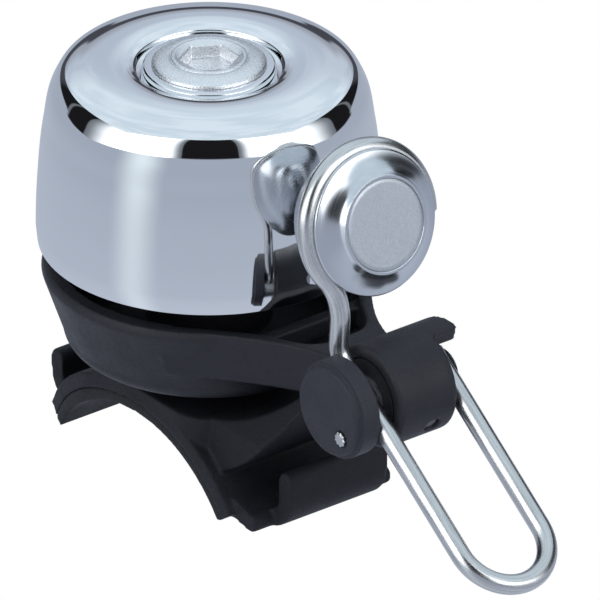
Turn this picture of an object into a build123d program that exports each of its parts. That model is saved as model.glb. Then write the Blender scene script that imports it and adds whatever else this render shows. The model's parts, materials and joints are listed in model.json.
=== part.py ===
from build123d import *
import os
from math import cos, radians, sin, sqrt, tan

# Bicycle bell. Millimetres. The shapes are drawn about the handlebar's axis, straight under the
# bell, and then lowered, so that the origin is the crown of the handlebar, where the liner sits.
# +Z is the bell's axis, +Y runs along the handlebar, +X points out to the thumb lever.

# Handlebar and general gaps
HANDLEBAR_R = 15.9          # 31.8 mm handlebar clamp zone
CLEAR = 0.05                # radial gap of parts that only pass each other
RUNNING = 0.05              # radial gap of the axle in its bores
FIT = 0.01                  # gap round parts that are pressed or seated

# Dome and what holds it
RIM_Z = 32.5                # height of the dome's rim over the handlebar's axis
DOME_R = 16.86              # outside radius of the dome's wall
DOME_T = 1.1                # wall of the dome
DOME_TOP = RIM_Z + 19.0     # highest ring of the top, round the recess
RECESS_R = 7.3
RECESS_FLOOR = DOME_TOP - 0.95
WASHER_R = 6.45
WASHER_T = 0.65
SCREW_R = 3.0               # M6 shank
SCREW_LENGTH = 31.5         # shank under the head
HEAD_R = 5.6
HEAD_BASE = RECESS_FLOOR + WASHER_T
HEAD_H = 0.95
HEAD_FLAT_R = 3.5           # flat land round the socket
SOCKET_ACROSS = 5.0         # hexagon, across flats
SOCKET_DEPTH = 0.9
GASKET_T = 1.0

# Body: dish, post, arm and barrel
POST_R = 6.0                # central post of the body
POST_TOP = RECESS_FLOOR - DOME_T - GASKET_T
DISH_R = 16.4
DISH_TOP = RIM_Z - 2.3
DISH_BOTTOM = RIM_Z - 11.0
DISH_FOOT_R = 13.6
DISH_WALL = 1.8
DISH_FLOOR_T = 2.0
FOOT_R = 8.0                # ring under the dish that stands on the saddle
ARM_TOP = DISH_TOP
ARM_T = 5.3
ARM_END = 24.6              # the arm runs into the barrel here
ARM_DRAFT = 0.9             # the arm is this much slimmer at its underside, on each side
ARM_WALL = 1.6
ARM_POCKET = 3.2            # depth of the well between the arm's walls
WELL_END = 21.0
RIB_X = 15.6
PIVOT_X = 29.4
PIVOT_Z = RIM_Z - 4.3
BARREL_R = 5.2
BARREL_HALF = 3.55
CHAMBER_R = 3.9
AXLE_R = 2.4
HOOD_IN = 3.45
HOOD_END = 6.4              # the hood reaches this far along +Y
HOOD_FROM = 76.0            # degrees round the pivot, from +X towards +Z
HOOD_TO = 150.0
ANCHOR_ANGLE = -32.0        # where the spring's pin goes through the barrel's wall
ANCHOR_Y = 0.9
ANCHOR_R = 0.85
SPRING_END = 2.3            # far end of the spring's chamber
SPRING_WIRE = 0.32
SPRING_R = 3.15
SPRING_TURNS = 4.5
BUSH_T = 1.0

# Nut and spacer on the screw
NUT_R = 4.2
NUT_TOP = 26.0
NUT_FLANGE_R = 6.0
NUT_FLANGE_Z = 17.3
NUT_FLANGE_T = 0.9
SPACER_R = 4.4

# Wire lever
WIRE_R = 1.0
WIRE_SEAT = WIRE_R + FIT
LEG_Y = 4.83                # half the distance between the two legs of the finger loop
LEG_DROP = 36.0             # the finger loop hangs this many degrees under the horizontal
LEG_OFFSET = 1.4            # the legs pass this far above the pivot's axis
LEG_LENGTH = 18.9           # from the pivot to the centre of the U bend
LOOP_R = 7.2                # the wire's ring round the striker
LOOP_TILT = 14.4            # the striker's axis leans up from the horizontal
LOOP_X = 24.7
LOOP_Z = RIM_Z + 11.8
ELBOW_BACK = 4.7            # the elbow's corner lies this far up the leg from the pivot
ELBOW_R = 2.6
KNEE_R = 4.0
NECK_R = 5.0                # reverse bend that takes the wire from the ring to the near leg
RING_END = 98.0             # the ring's free end, in degrees from its top towards +Y
TAIL = 1.6                  # the far leg runs this far past the axle
KNOB_NEAR = -8.5
KNOB_FAR = -5.85
KNOB_R = 4.95
KNOB_STEP = 0.45            # the knob's face is this much smaller in radius than its rim
AXLE_END = 5.9
PIN_R = 0.8
PIN_DROP = 1.83             # the pin sits under the wire, which rests on it
PIN_ALONG = 2.9

# Striker, along its own axis
GROOVE_R = LOOP_R - WIRE_R - 2 * FIT
GROOVE_HALF = WIRE_R + 2 * FIT
FLANGE_R = 7.2
FACE_R = 4.55
CAP_RIM_R = 4.9             # foot of the rim round the flat face
CAP_FRONT = 3.1
CAP_FLOOR = CAP_FRONT - 0.6
STUD_R = 1.5
STUD_BACK = -4.0
HAMMER_BACK = -6.7

# Saddle
SADDLE_T = 1.6
PAD_T = 1.3
ARCH_IN = HANDLEBAR_R + PAD_T
ARCH_OUT = ARCH_IN + SADDLE_T
SADDLE_HALF = 9.4           # half the saddle's width along the handlebar
TAIL_HALF = 7.2             # the same at the back
SADDLE_ANGLE = 54.0         # the arch reaches this far down in front
BACK_ANGLE = 59.0           # and this far behind
SADDLE_END = 26.0           # the plan reaches past the hooks
PLATFORM_TOP = 19.0
PLATFORM_T = 6.0
HOOK_HALF = 6.0             # half the width of the strap hooks
HOOK_R = 3.6                # outside radius under the hook's channel
HOOK_WALL = 1.8
TOE_HALF = 8.4              # half the width of the arch's foot under the hooks
STRUT_HALF = 8.2            # half the strut's width at its root
STRUT_TOP_HALF = 3.4
STRUT_ROOT = 14.4           # the strut starts inside the arch at this height


def ring(r_in, r_out, z0, z1):
    """A plain upright ring, or a disc when r_in is 0."""
    body = Pos(0, 0, z0) * Cylinder(r_out, z1 - z0, align=(Align.CENTER, Align.CENTER, Align.MIN))
    if r_in > 0:
        body -= ring(0, r_in, z0 - 1, z1 + 1)
    return body


def turned(outline):
    """Revolve a closed (radius, height) face about +Z."""
    return revolve(Plane.XZ * outline, Axis.Z)


def at_pivot(shape):
    """Turn a shape made along +Z so that it lies along +Y on the pivot's axis."""
    return Pos(PIVOT_X, 0, PIVOT_Z) * (Rot(-90, 0, 0) * shape)


def pivot_ring(r_in, r_out, y0, y1):
    return at_pivot(ring(r_in, r_out, y0, y1))


# Directions of the lever
leg_dir = Vector(cos(radians(LEG_DROP)), 0, -sin(radians(LEG_DROP)))
leg_up = Vector(sin(radians(LEG_DROP)), 0, cos(radians(LEG_DROP)))
leg_base = Vector(PIVOT_X, 0, PIVOT_Z) + leg_up * LEG_OFFSET
loop_dir = Vector(cos(radians(LOOP_TILT)), 0, sin(radians(LOOP_TILT)))
loop_up = Vector(-sin(radians(LOOP_TILT)), 0, cos(radians(LOOP_TILT)))
loop_centre = Vector(LOOP_X, 0, LOOP_Z)
y_dir = Vector(0, 1, 0)
striker_plane = Plane(origin=loop_centre, x_dir=y_dir, z_dir=loop_dir)


# --- the bell -------------------------------------------------------------------------------

def dome_outline(inset):
    """Half section of the dome's skin, moved in square to itself by a wall thickness."""
    # radius less than the wall's, height over the rim, lean of the skin's normal above the horizontal
    stations = [(0.0, 1.5, 0), (0.2, 7.0, 3.5), (0.74, 12.4, 8), (1.64, 16.5, 23), (2.58, 18.0, 46),
                (4.46, 18.7, 76), (7.46, 19.0, 88)]
    skin = []
    for less, height, lean in stations:
        radius = DOME_R - less - inset * cos(radians(lean))
        skin.append((radius, RIM_Z + height - inset * sin(radians(lean))))
    return (DOME_R - 0.15 - inset, RIM_Z), skin


def bell_dome():
    """Turned shell with a shallow recess round the screw."""
    def solid_to(inset, floor):
        rim, skin = dome_outline(inset)
        edge = RECESS_R - (0.45 if inset else 0)
        lip = (edge + 0.35, skin[-1][1] - 0.12)
        edges = [
            Line((0, RIM_Z), rim),
            Line(rim, skin[0]),
            Spline(*skin, tangents=[(0, 1), (-1, 0)]),
            Line(skin[-1], lip),
            Line(lip, (edge, floor)),
            Line((edge, floor), (0, floor)),
            Line((0, floor), (0, RIM_Z)),
        ]
        return turned(make_face(edges))
    shell = solid_to(0, RECESS_FLOOR) - solid_to(DOME_T, RECESS_FLOOR - DOME_T)
    return shell - ring(0, SCREW_R + 0.2, RIM_Z, DOME_TOP + 1)


def dome_washer():
    body = ring(SCREW_R + CLEAR, WASHER_R, RECESS_FLOOR, HEAD_BASE)
    return chamfer(body.edges().group_by(Axis.Z)[-1], 0.2)


def dome_screw():
    """Button-head screw with a five-millimetre hexagon socket."""
    crown = HEAD_BASE + HEAD_H
    side = HEAD_BASE + 0.25
    section = make_face([
        Line((0, HEAD_BASE), (HEAD_R, HEAD_BASE)),
        Line((HEAD_R, HEAD_BASE), (HEAD_R, side)),
        ThreePointArc((HEAD_R, side), (HEAD_R - 0.85, crown - 0.27), (HEAD_FLAT_R, crown)),
        Line((HEAD_FLAT_R, crown), (0, crown)),
        Line((0, crown), (0, HEAD_BASE)),
    ])
    head = turned(section)
    shank = ring(0, SCREW_R, HEAD_BASE - SCREW_LENGTH, HEAD_BASE)
    shank = chamfer(shank.edges().group_by(Axis.Z)[0], 0.5)
    socket = Pos(0, 0, crown - SOCKET_DEPTH) * extrude(RegularPolygon(SOCKET_ACROSS / sqrt(3), 6), 3)
    drill = Pos(0, 0, crown - SOCKET_DEPTH - 0.1) * Cone(0.4, 2.4, 0.5)
    lead_in = Pos(0, 0, crown - 0.2) * Cone(2.9, 3.3, 0.4)
    return head + shank - socket - drill - lead_in


def dome_gasket():
    return ring(SCREW_R + CLEAR, POST_R, POST_TOP, RECESS_FLOOR - DOME_T)


# --- the body -------------------------------------------------------------------------------

def post_spacer():
    """Metal sleeve that stops the screw from crushing the post."""
    return ring(SCREW_R + CLEAR, SPACER_R - 2 * FIT, NUT_TOP + 1.0, POST_TOP)


def arm_plan(inset, tip):
    """The arm's outline from above: it leaves the dish like a horn and narrows to the barrel."""
    half = [(9.0, 13.4), (13.3, 9.6), (16.6, 7.1), (20.3, 4.9), (ARM_END, 3.5)]
    half = [(min(x, tip), y - inset) for x, y in half]
    near = [(x, -y) for x, y in half]
    return make_face([
        Spline(*half),
        Line(half[-1], near[-1]),
        Spline(*reversed(near)),
        Line(near[0], half[0]),
    ])


def bell_body():
    """One moulding: dish, post, arm, barrel, hood and foot."""
    outer = turned(make_face([
        Line((0, DISH_BOTTOM), (DISH_FOOT_R - 1.5, DISH_BOTTOM)),
        ThreePointArc((DISH_FOOT_R - 1.5, DISH_BOTTOM), (DISH_FOOT_R + 0.1, DISH_BOTTOM + 0.4),
                      (DISH_FOOT_R + 0.7, DISH_BOTTOM + 1.7)),
        Line((DISH_FOOT_R + 0.7, DISH_BOTTOM + 1.7), (DISH_R, DISH_TOP - 0.8)),
        Line((DISH_R, DISH_TOP - 0.8), (DISH_R - 0.3, DISH_TOP)),
        Line((DISH_R - 0.3, DISH_TOP), (0, DISH_TOP)),
        Line((0, DISH_TOP), (0, DISH_BOTTOM)),
    ]))
    arm = loft([
        (Pos(0, 0, ARM_TOP) * arm_plan(0, ARM_END)).face(),
        (Pos(0, 0, ARM_TOP - ARM_T) * arm_plan(ARM_DRAFT, ARM_END)).face(),
    ], ruled=True)
    barrel = pivot_ring(0, BARREL_R, -BARREL_HALF, BARREL_HALF)
    barrel = chamfer(barrel.edges().filter_by(GeomType.CIRCLE), 0.35)
    well = Pos(0, 0, ARM_TOP + 0.5) * extrude(arm_plan(ARM_WALL, WELL_END), -ARM_POCKET - 0.5)
    rib = Pos(RIB_X, 0, ARM_TOP - 1.6) * Box(1.4, 13.0, 2.0)
    foot = ring(0, FOOT_R, PLATFORM_TOP, DISH_BOTTOM + 1)
    body = outer + arm + barrel + foot

    floor = DISH_BOTTOM + DISH_FLOOR_T
    hollow = turned(make_face([
        Line((0, floor), (DISH_FOOT_R - 1.0, floor)),
        Line((DISH_FOOT_R - 1.0, floor), (DISH_R - DISH_WALL, DISH_TOP - 0.5)),
        Line((DISH_R - DISH_WALL, DISH_TOP - 0.5), (DISH_R - DISH_WALL, DISH_TOP + 1)),
        Line((DISH_R - DISH_WALL, DISH_TOP + 1), (0, DISH_TOP + 1)),
        Line((0, DISH_TOP + 1), (0, floor)),
    ]))
    body = body - hollow - well + rib
    body += ring(0, POST_R, DISH_BOTTOM + 0.5, POST_TOP)
    body -= ring(0, NUT_R + CLEAR, PLATFORM_TOP - 1, NUT_TOP + 1.0)
    body -= ring(0, SPACER_R, NUT_TOP + 0.9, POST_TOP + 1)

    body -= pivot_ring(0, AXLE_R + RUNNING, -10, 10)
    body -= pivot_ring(0, CHAMBER_R, -BARREL_HALF - 1, SPRING_END)
    body += hood()
    return body - pin_hole()


def hood():
    """Part ring at the barrel's far end that shields the end of the wire."""
    whole = pivot_ring(HOOD_IN, BARREL_R, BARREL_HALF - 0.6, HOOD_END)
    reach = 12.0
    angles = (HOOD_FROM, (HOOD_FROM + HOOD_TO) / 2, HOOD_TO)
    corners = [(reach * cos(radians(a)), reach * sin(radians(a))) for a in angles]
    wedge = make_face(Polyline((0, 0), *corners, close=True))
    wedge = Pos(PIVOT_X, HOOD_END + 1, PIVOT_Z) * extrude(Plane.XZ * wedge, HOOD_END)
    return whole & wedge


def anchor_place():
    """Local frame on the barrel's surface with +Z pointing out along the anchor pin."""
    out = Vector(cos(radians(ANCHOR_ANGLE)), 0, sin(radians(ANCHOR_ANGLE)))
    spot = Vector(PIVOT_X, ANCHOR_Y, PIVOT_Z) + out * BARREL_R
    return Plane(origin=spot, x_dir=y_dir, z_dir=out)


def pin_hole():
    return anchor_place() * (Pos(0, 0, -0.6) * Cylinder(ANCHOR_R, 4.0))


def spring_anchor_pin():
    """Knurled pin pressed through the barrel's wall, flush under its surface."""
    pin = Pos(0, 0, -0.95) * Cylinder(ANCHOR_R - FIT, 1.2)
    pin = chamfer(pin.edges().filter_by(GeomType.CIRCLE), 0.12)
    return anchor_place() * pin


# --- the saddle -----------------------------------------------------------------------------

def along_bar(outline, half_width):
    """Extrude an (x, z) face both ways along the handlebar."""
    return Pos(0, half_width, 0) * extrude(Plane.XZ * outline, 2 * half_width)


def arch(r_in, r_out, half_width):
    """Part ring over the handlebar, open below."""
    far = 2 * r_out
    front = (far * sin(radians(SADDLE_ANGLE)), far * cos(radians(SADDLE_ANGLE)))
    back = (-far * sin(radians(BACK_ANGLE)), far * cos(radians(BACK_ANGLE)))
    sector = make_face(Polyline((0, 0), front, (0, far * 2), back, close=True))
    tube = Rot(90, 0, 0) * (Cylinder(r_out, 2 * half_width) - Cylinder(r_in, 4 * half_width))
    return tube & along_bar(sector, half_width)


def saddle_plan():
    """Outline from above: full width in front, narrower behind."""
    side = [(SADDLE_END, SADDLE_HALF), (-6.0, SADDLE_HALF)]
    tail = [(-15.8, TAIL_HALF), (-SADDLE_END, TAIL_HALF)]
    middle = (-11.6, SADDLE_HALF - 0.8)
    outline = []
    for sign in (1, -1):
        a, b, c, d, m = [(x, sign * y) for x, y in side + tail + [middle]]
        outline += [Line(a, b), ThreePointArc(b, m, c), Line(c, d)]
    outline.append(Line((SADDLE_END, SADDLE_HALF), (SADDLE_END, -SADDLE_HALF)))
    outline.append(Line((-SADDLE_END, TAIL_HALF), (-SADDLE_END, -TAIL_HALF)))
    return extrude(make_face(outline), 30)


def hook(lip_x, lip_top, foot_z, toe_half):
    """J-shaped hook for the strap's loop; the channel's floor is round and stands on a wider toe."""
    root_x = ARCH_IN * sin(radians(SADDLE_ANGLE))
    wall = HOOK_WALL
    inner_r = HOOK_R - wall
    centre = Vector(lip_x - HOOK_R, foot_z + HOOK_R)
    slant = sin(radians(45))
    section = make_face([
        Line((root_x, foot_z + 0.6), (centre.X, foot_z)),
        ThreePointArc((centre.X, foot_z), (centre.X + HOOK_R * slant, centre.Y - HOOK_R * slant),
                      (lip_x, centre.Y)),
        Line((lip_x, centre.Y), (lip_x, lip_top - wall / 2)),
        ThreePointArc((lip_x, lip_top - wall / 2), (lip_x - wall / 2, lip_top),
                      (lip_x - wall, lip_top - wall / 2)),
        Line((lip_x - wall, lip_top - wall / 2), (lip_x - wall, centre.Y)),
        ThreePointArc((lip_x - wall, centre.Y), (centre.X + inner_r * slant, centre.Y - inner_r * slant),
                      (centre.X, foot_z + wall)),
        Line((centre.X, foot_z + wall), (root_x, foot_z + wall + 0.9)),
        Line((root_x, foot_z + wall + 0.9), (root_x, foot_z + 0.6)),
    ])
    toe = make_face([
        Line((root_x, foot_z + 0.6), (centre.X, foot_z)),
        ThreePointArc((centre.X, foot_z), (centre.X + 1.2, foot_z + wall / 2), (centre.X, foot_z + wall)),
        Line((centre.X, foot_z + wall), (root_x, foot_z + wall + 0.9)),
        Line((root_x, foot_z + wall + 0.9), (root_x, foot_z + 0.6)),
    ])
    return along_bar(section, HOOK_HALF) + along_bar(toe, toe_half)


def bracket():
    """Strut that rises from the arch's shoulder, narrowing, and carries the arm from below."""
    arm_bottom = ARM_TOP - ARM_T
    section = make_face([
        Line((4.0, PLATFORM_TOP), (9.5, PLATFORM_TOP)),
        ThreePointArc((9.5, PLATFORM_TOP), (15.6, PLATFORM_TOP + 2.1), (20.0, arm_bottom)),
        Line((20.0, arm_bottom), (21.2, arm_bottom)),
        ThreePointArc((21.2, arm_bottom), (18.3, 19.3), (12.6, STRUT_ROOT)),
        Line((12.6, STRUT_ROOT), (4.0, STRUT_ROOT)),
        Line((4.0, STRUT_ROOT), (4.0, PLATFORM_TOP)),
    ])
    front = make_face(Polyline(
        (-STRUT_HALF, STRUT_ROOT), (STRUT_HALF, STRUT_ROOT), (STRUT_HALF - 0.6, PLATFORM_TOP),
        (STRUT_TOP_HALF, arm_bottom), (-STRUT_TOP_HALF, arm_bottom), (0.6 - STRUT_HALF, PLATFORM_TOP),
        close=True))
    return along_bar(section, STRUT_HALF) & extrude(Plane.YZ * front, 30)


def saddle_base():
    """Arch over the handlebar with a platform for the body, the arm's strut and two hooks."""
    plate = extrude(RectangleRounded(20.0, 2 * SADDLE_HALF, 4.0), PLATFORM_T)
    plate = Pos(1.0, 0, PLATFORM_TOP - PLATFORM_T) * plate
    body = (arch(ARCH_IN, ARCH_OUT, SADDLE_HALF) & saddle_plan()) + plate + bracket()
    body += hook(20.4, 16.4, 9.8, TOE_HALF)
    body += mirror(hook(17.6, 14.8, 9.0, TAIL_HALF - 0.4), Plane.YZ)
    body -= Rot(90, 0, 0) * Cylinder(ARCH_IN, 4 * SADDLE_HALF)
    body -= ring(0, NUT_R + CLEAR, 10, PLATFORM_TOP + 1)
    return body - ring(0, NUT_FLANGE_R + CLEAR, 10, NUT_FLANGE_Z + NUT_FLANGE_T)


def saddle_pad():
    pad = arch(HANDLEBAR_R, ARCH_IN, SADDLE_HALF - 0.2) & saddle_plan()
    return pad - ring(0, NUT_FLANGE_R + 0.2, 10, 20)


def clamp_nut():
    """Flanged barrel nut, held in the saddle and pulled up by the screw."""
    body = ring(SCREW_R + CLEAR, NUT_FLANGE_R, NUT_FLANGE_Z, NUT_FLANGE_Z + NUT_FLANGE_T)
    return body + ring(SCREW_R + CLEAR, NUT_R, NUT_FLANGE_Z + NUT_FLANGE_T - 0.1, NUT_TOP)


def nut_washer():
    return ring(SCREW_R + CLEAR, NUT_R, NUT_TOP, NUT_TOP + 0.8)


# --- the lever ------------------------------------------------------------------------------

def wire_channel(y):
    """The room that one leg of the wire takes across the axle."""
    channel = Plane(origin=leg_base + y_dir * y, x_dir=y_dir, z_dir=leg_dir) * Cylinder(WIRE_SEAT, 14)
    above = Plane(origin=leg_base + y_dir * y + leg_up * 2, x_dir=y_dir, z_dir=leg_dir)
    return channel + above * Box(2 * WIRE_SEAT, 4, 14)


def pivot_axle():
    """Axle with a channel across each end, in which the wire's legs lie."""
    body = pivot_ring(0, AXLE_R, KNOB_FAR - 1.6, AXLE_END)
    body = chamfer(body.edges().filter_by(GeomType.CIRCLE), 0.25)
    for y in (-LEG_Y, LEG_Y):
        body -= wire_channel(y)
    return body


def pivot_knob():
    """Round disc on the near end of the axle, with a stepped rim."""
    body = pivot_ring(0, KNOB_R, KNOB_NEAR + 0.7, KNOB_FAR)
    body += pivot_ring(0, KNOB_R - KNOB_STEP, KNOB_NEAR, KNOB_NEAR + 0.8)
    body = fillet(body.edges().group_by(Axis.Y)[0], 0.25)
    body -= pivot_ring(0, AXLE_R, KNOB_FAR - 1.6, KNOB_FAR + 1)
    return body - pin_place(PIN_R, KNOB_NEAR - 1, KNOB_FAR + 1)


def pin_place(radius, y0, y1):
    spot = leg_base + leg_dir * PIN_ALONG - leg_up * PIN_DROP
    return Pos(spot.X, 0, spot.Z) * (Rot(-90, 0, 0) * ring(0, radius, y0, y1))


def wire_pin():
    """Knurled pin through the disc, under the near leg of the wire."""
    pin = pin_place(PIN_R - FIT, KNOB_NEAR - 0.25, -BARREL_HALF - 0.35)
    pin = chamfer(pin.edges().filter_by(GeomType.CIRCLE), 0.12)
    return pin - pivot_ring(0, AXLE_R + FIT, KNOB_FAR - 1.6, 0)


def axle_bush():
    """Bush that closes the barrel and carries the near end of the axle."""
    return pivot_ring(AXLE_R + RUNNING, CHAMBER_R - FIT, -BARREL_HALF, -BARREL_HALF + BUSH_T)


def torsion_spring():
    """Coil round the axle, between the bush and the chamber's end."""
    room = SPRING_END - (-BARREL_HALF + BUSH_T) - 2 * SPRING_WIRE - 0.5
    path = Helix(pitch=room / SPRING_TURNS, height=room, radius=SPRING_R)
    section = Plane(origin=path @ 0, z_dir=path % 0) * Circle(SPRING_WIRE)
    coil = sweep(section, path=path)
    return at_pivot(Pos(0, 0, -BARREL_HALF + BUSH_T + SPRING_WIRE + 0.25) * coil)


def loop_point(angle, radius=LOOP_R):
    """A point of the striker's ring; the angle is from the top, positive towards +Y."""
    return loop_centre + y_dir * (radius * sin(radians(angle))) + loop_up * (radius * cos(radians(angle)))


def corner_arc(corner, back, ahead, radius):
    """Start, middle and end of the arc that rounds a corner between two directions."""
    half = radians(back.get_angle(ahead)) / 2
    reach = radius * tan(half)
    start = corner - back * reach
    end = corner + ahead * reach
    bisector = (ahead - back).normalized()
    centre = corner + bisector * (radius / cos(half))
    return start, centre - bisector * radius, end


def wire_path():
    """From the free end of the ring, over the top, down, round the finger loop and back."""
    shift = LOOP_R - LEG_Y
    turn = (1 - shift / (LOOP_R + NECK_R))
    neck = Vector(turn, sqrt(1 - turn ** 2), 0).get_angle(Vector(1, 0, 0))
    leave = -90.0 - neck
    near = y_dir * -LEG_Y
    neck_centre = loop_point(leave, LOOP_R + NECK_R)
    neck_end = neck_centre + y_dir * NECK_R
    half_way = radians(neck / 2)
    neck_middle = neck_centre + y_dir * (NECK_R * cos(half_way)) + loop_up * (NECK_R * sin(half_way))
    ahead = leg_dir
    down = -loop_up

    knee = neck_end + down * 0.9
    elbow = leg_base + near - ahead * ELBOW_BACK
    shin = (elbow - knee).normalized()
    knee_in, knee_middle, knee_out = corner_arc(knee, down, shin, KNEE_R)
    bend_in, bend_middle, bend_out = corner_arc(elbow, shin, ahead, ELBOW_R)

    near_turn = leg_base + near + leg_dir * LEG_LENGTH
    far_turn = leg_base - near + leg_dir * LEG_LENGTH
    tip = leg_base + leg_dir * (LEG_LENGTH + LEG_Y)
    far_end = leg_base - near - leg_dir * TAIL
    return [
        ThreePointArc(loop_point(RING_END), loop_point((RING_END + leave) / 2), loop_point(leave)),
        ThreePointArc(loop_point(leave), neck_middle, neck_end),
        Line(neck_end, knee_in),
        ThreePointArc(knee_in, knee_middle, knee_out),
        Line(knee_out, bend_in),
        ThreePointArc(bend_in, bend_middle, bend_out),
        Line(bend_out, near_turn),
        ThreePointArc(near_turn, tip, far_turn),
        Line(far_turn, far_end),
    ]


def wire_lever():
    path = Wire(wire_path())
    section = Plane(origin=path @ 0, z_dir=path % 0) * Circle(WIRE_R)
    return sweep(section, path=path)


# --- the striker, made along the local +Z that points out of its flat face -------------------

def striker_cap():
    """Hat-shaped cap: flange, concave flank and a rim round the flat face."""
    section = make_face([
        Line((STUD_R, GROOVE_HALF), (FLANGE_R, GROOVE_HALF)),
        Line((FLANGE_R, GROOVE_HALF), (FLANGE_R, GROOVE_HALF + 0.35)),
        ThreePointArc((FLANGE_R, GROOVE_HALF + 0.35), (5.75, GROOVE_HALF + 1.0),
                      (CAP_RIM_R, CAP_FRONT - 0.15)),
        Line((CAP_RIM_R, CAP_FRONT - 0.15), (CAP_RIM_R - 0.15, CAP_FRONT)),
        Line((CAP_RIM_R - 0.15, CAP_FRONT), (FACE_R, CAP_FRONT)),
        Line((FACE_R, CAP_FRONT), (FACE_R, CAP_FLOOR)),
        Line((FACE_R, CAP_FLOOR), (STUD_R, CAP_FLOOR)),
        Line((STUD_R, CAP_FLOOR), (STUD_R, GROOVE_HALF)),
    ])
    return striker_plane * turned(section)


def striker_face():
    """Brushed disc set into the cap."""
    body = ring(0, FACE_R - FIT, CAP_FLOOR, CAP_FRONT - 0.05)
    return striker_plane * chamfer(body.edges().group_by(Axis.Z)[-1], 0.08)


def striker_hammer():
    """Core that the wire wraps round, a back flange and the domed nose that hits the bell."""
    edge_r = FLANGE_R - 0.1
    edge_z = -GROOVE_HALF - 0.5
    centre_z = (HAMMER_BACK ** 2 - edge_r ** 2 - edge_z ** 2) / (2 * (HAMMER_BACK - edge_z))
    nose_r = centre_z - HAMMER_BACK
    middle = radians(45)
    section = make_face([
        Line((0, HAMMER_BACK), (0, GROOVE_HALF)),
        Line((0, GROOVE_HALF), (GROOVE_R, GROOVE_HALF)),
        Line((GROOVE_R, GROOVE_HALF), (GROOVE_R, -GROOVE_HALF)),
        Line((GROOVE_R, -GROOVE_HALF), (edge_r, -GROOVE_HALF)),
        Line((edge_r, -GROOVE_HALF), (edge_r, edge_z)),
        ThreePointArc((edge_r, edge_z), (nose_r * sin(middle), centre_z - nose_r * cos(middle)),
                      (0, HAMMER_BACK)),
    ])
    bore = ring(0, STUD_R, STUD_BACK, GROOVE_HALF + 1)
    return striker_plane * (turned(section) - bore)


def striker_stud():
    """Rivet that holds the cap on the hammer."""
    return striker_plane * ring(0, STUD_R, STUD_BACK, CAP_FLOOR)


PARTS = [
    bell_dome, dome_washer, dome_screw, dome_gasket,
    bell_body, post_spacer, nut_washer, clamp_nut, saddle_base, saddle_pad,
    spring_anchor_pin, axle_bush, torsion_spring,
    pivot_axle, pivot_knob, wire_pin,
    wire_lever, striker_cap, striker_face, striker_hammer, striker_stud,
]

os.makedirs("parts", exist_ok=True)
for make in PARTS:
    export_step(Pos(0, 0, -HANDLEBAR_R) * make(), f"parts/{make.__name__}.step")
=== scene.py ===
import json
import math

import bmesh
import bpy
from mathutils import Matrix, Vector


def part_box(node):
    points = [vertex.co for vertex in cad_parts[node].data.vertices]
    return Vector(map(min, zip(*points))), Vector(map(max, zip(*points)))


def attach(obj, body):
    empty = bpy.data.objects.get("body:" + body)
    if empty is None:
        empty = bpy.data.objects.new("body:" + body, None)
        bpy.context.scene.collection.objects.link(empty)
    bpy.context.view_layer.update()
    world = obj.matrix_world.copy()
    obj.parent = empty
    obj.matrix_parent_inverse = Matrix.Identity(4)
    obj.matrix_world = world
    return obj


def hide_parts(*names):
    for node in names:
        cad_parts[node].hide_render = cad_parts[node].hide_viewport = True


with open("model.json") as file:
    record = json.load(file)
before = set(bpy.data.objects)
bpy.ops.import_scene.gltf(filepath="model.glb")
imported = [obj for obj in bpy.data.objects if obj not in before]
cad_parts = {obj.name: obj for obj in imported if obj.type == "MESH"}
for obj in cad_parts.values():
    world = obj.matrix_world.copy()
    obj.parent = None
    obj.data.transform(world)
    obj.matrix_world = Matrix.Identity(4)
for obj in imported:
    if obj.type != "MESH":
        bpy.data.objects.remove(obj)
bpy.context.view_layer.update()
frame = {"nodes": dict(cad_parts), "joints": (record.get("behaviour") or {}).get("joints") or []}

MM = 0.001

# Places in the row frame, in millimetres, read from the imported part
RIM_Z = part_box("bell_dome")[0].z / MM
JOINT = frame["joints"][0]
PIVOT = Vector(JOINT["pos_m"]) / MM

# Sizes of the dome, in millimetres over its rim
DOME_R = 16.86
DOME_T = 1.1
DOME_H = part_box("bell_dome")[1].z / MM - RIM_Z
RECESS_R = 7.15
RECESS_DEPTH = 0.95
WASHER_R = 6.45
WASHER_T = 0.65
HEAD_R = 5.6
HEAD_H = 0.95
SCREW_R = 3.0

# Wire lever
WIRE_R = 1.0
LEG_Y = 4.83
LEG_DROP = math.radians(36.0)
LEG_OFFSET = 1.4
LEG_LENGTH = 18.9
LOOP_R = 7.2
LOOP_TILT = math.radians(14.4)
LOOP_X = 24.7
LOOP_OVER_RIM = 11.8
NECK_R = 5.0
KNEE_R = 4.0
ELBOW_BACK = 4.7
ELBOW_R = 2.6
RING_END = 98.0
TAIL = 1.6

# Striker, along its own axis
GROOVE_HALF = 1.02
FLANGE_R = 7.2
FACE_R = 4.55
CAP_FRONT = 3.1
HAMMER_BACK = -6.7

# Pins
ANCHOR_ANGLE = math.radians(-32.0)
ANCHOR_Y = 0.9
ANCHOR_R = 0.85
BARREL_R = 5.2
PIN_R = 0.8
PIN_ALONG = 2.9
PIN_DROP = 1.83
KNOB_NEAR = -8.5

# Light tent: directions in degrees round the bell from the camera's side, or up over it
FLOOR_LIGHT = (0.375, 0.418, 0.505)
FLOOR_NEAR_LIGHT = (0.50, 0.55, 0.65)
STREAK_LIGHT = (0.80, 0.89, 0.95)
GAP_BLACK = (0.010, 0.010, 0.011)
BACK_DARK = (0.060, 0.064, 0.078)
RIM_LIGHT = (0.16, 0.17, 0.19)
BOX_EDGE_LIGHT = (0.17, 0.19, 0.22)
BOX_LIGHT = (2.4, 2.5, 2.6)
PANEL_END_LIGHT = (0.35, 0.375, 0.44)
TENT_TURN = 1.0             # the tent is turned this far off the camera
RIM_LIGHT_AT = 119.0
PANEL_SLOPE = 1.5           # half the overhead panel's width over its height

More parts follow.
